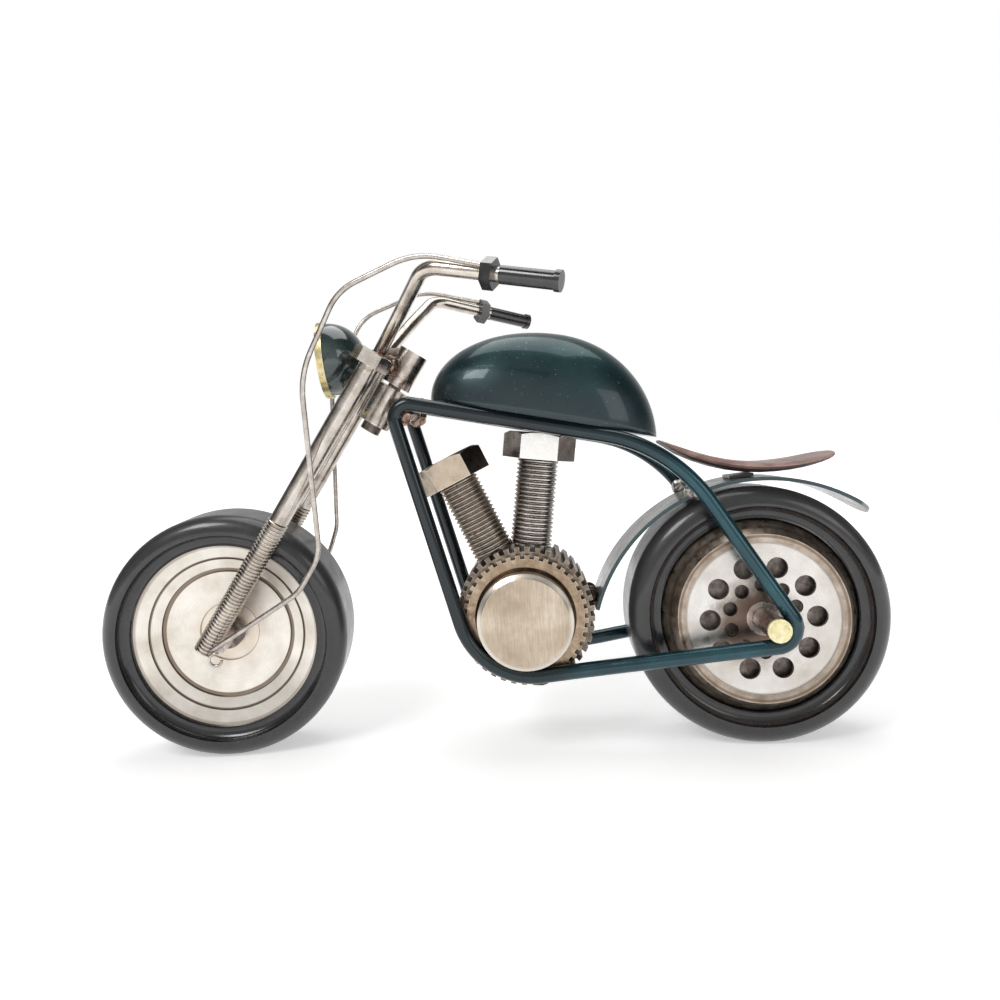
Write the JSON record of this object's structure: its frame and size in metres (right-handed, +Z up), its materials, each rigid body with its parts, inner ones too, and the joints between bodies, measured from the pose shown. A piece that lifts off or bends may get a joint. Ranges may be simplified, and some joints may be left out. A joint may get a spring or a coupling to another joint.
{
  "type": "model motorcycle",
  "caption": "Desk sculpture of a chopper motorcycle made of bent rod, hexagon bolts and turned metal discs, with steerable fork and rolling wheels.",
  "frame": {"origin": "on the ground under the middle of the motorcycle's bounding box", "axes": "+Z up, +X toward the rear wheel, +Y toward the motorcycle's right side"},
  "size_m": [0.2212, 0.0944, 0.1378],
  "materials": {
    "loop_paint": "gloss",
    "neck_steel": "satin",
    "dark_steel": "rough",
    "copper_weld": "satin",
    "dark_weld": "rough",
    "grey_weld": "rough",
    "tank_paint": "gloss",
    "seat_paint": "satin",
    "bracket_steel": "satin",
    "fender_paint": "satin",
    "gear_steel": "rough",
    "gold_steel": "satin",
    "spacer_steel": "rough",
    "cover_steel": "brushed",
    "front_bolt_steel": "satin",
    "rear_bolt_steel": "satin",
    "axle_steel": "satin",
    "cap_brass": "satin",
    "leg_steel": "satin",
    "bar_nickel": "polished",
    "nut_black": "gloss",
    "grip_black": "gloss",
    "lamp_paint": "gloss",
    "lamp_brass": "satin",
    "lamp_face": "satin",
    "cable_wire": "satin",
    "front_tyre": "satin",
    "rear_tyre": "satin",
    "front_disc": "turned",
    "core_steel": "rough",
    "rear_rim": "satin",
    "rear_disc": "turned",
    "hub_steel": "satin"
  },
  "bodies": {
    "frame": {"frame_loop_left": "loop_paint", "frame_loop_right": "loop_paint", "head_tube": "neck_steel", "neck_crossbar": "dark_steel", "neck_welds": "copper_weld", "fuel_tank": "tank_paint", "tank_welds": "dark_weld", "seat": "seat_paint", "seat_bracket": "bracket_steel", "rear_fender": "fender_paint", "fender_welds": "grey_weld", "engine_gear": "gear_steel", "toothed_ring_left": "gold_steel", "toothed_ring_right": "gold_steel", "engine_spacer_left": "spacer_steel", "engine_spacer_right": "spacer_steel", "engine_cover_left": "cover_steel", "engine_cover_right": "cover_steel", "front_cylinder_bolt": "front_bolt_steel", "rear_cylinder_bolt": "rear_bolt_steel", "engine_welds": "dark_weld", "rear_axle": "axle_steel", "axle_caps": "cap_brass", "axle_welds": "dark_weld"},
    "steering": {"steering_collar": "neck_steel", "pivot_pin": "dark_steel", "fork_leg_left": "leg_steel", "fork_leg_right": "leg_steel", "crown_welds": "copper_weld", "handlebar_left": "bar_nickel", "handlebar_right": "bar_nickel", "bar_nuts": "nut_black", "grip_left": "grip_black", "grip_right": "grip_black", "headlight_shell": "lamp_paint", "headlight_rim": "lamp_brass", "headlight_face": "lamp_face", "headlight_bracket": "dark_steel", "brake_cable_left": "cable_wire", "brake_cable_right": "cable_wire", "cable_hooks": "cable_wire", "front_axle": "axle_steel"},
    "front_wheel": {"front_tyre": "front_tyre", "front_disc_left": "front_disc", "front_disc_right": "front_disc", "front_core": "core_steel"},
    "rear_wheel": {"rear_tyre": "rear_tyre", "rear_rim_left": "rear_rim", "rear_rim_right": "rear_rim", "perforated_disc_left": "rear_disc", "perforated_disc_right": "rear_disc", "rear_core": "core_steel", "rear_hub": "hub_steel"}
  },
  "joints": [
    {"name": "steering_turn", "type": "hinge", "parent": "frame", "child": "steering", "pos_m": [-0.0262, -0.0029, 0.0985], "axis": [0.5534, 0, 0.8329], "range_deg": [-31.6, 18.4]},
    {"name": "front_wheel_spin", "type": "hinge", "parent": "steering", "child": "front_wheel", "pos_m": [-0.07524, -0.00358, 0.03532], "axis": [-0.0957, 0.9934, 0.0636], "continuous": true},
    {"name": "rear_wheel_spin", "type": "hinge", "parent": "frame", "child": "rear_wheel", "pos_m": [0.0755, -0.0029, 0.035], "axis": [0, 1, 0], "continuous": true}
  ]
}
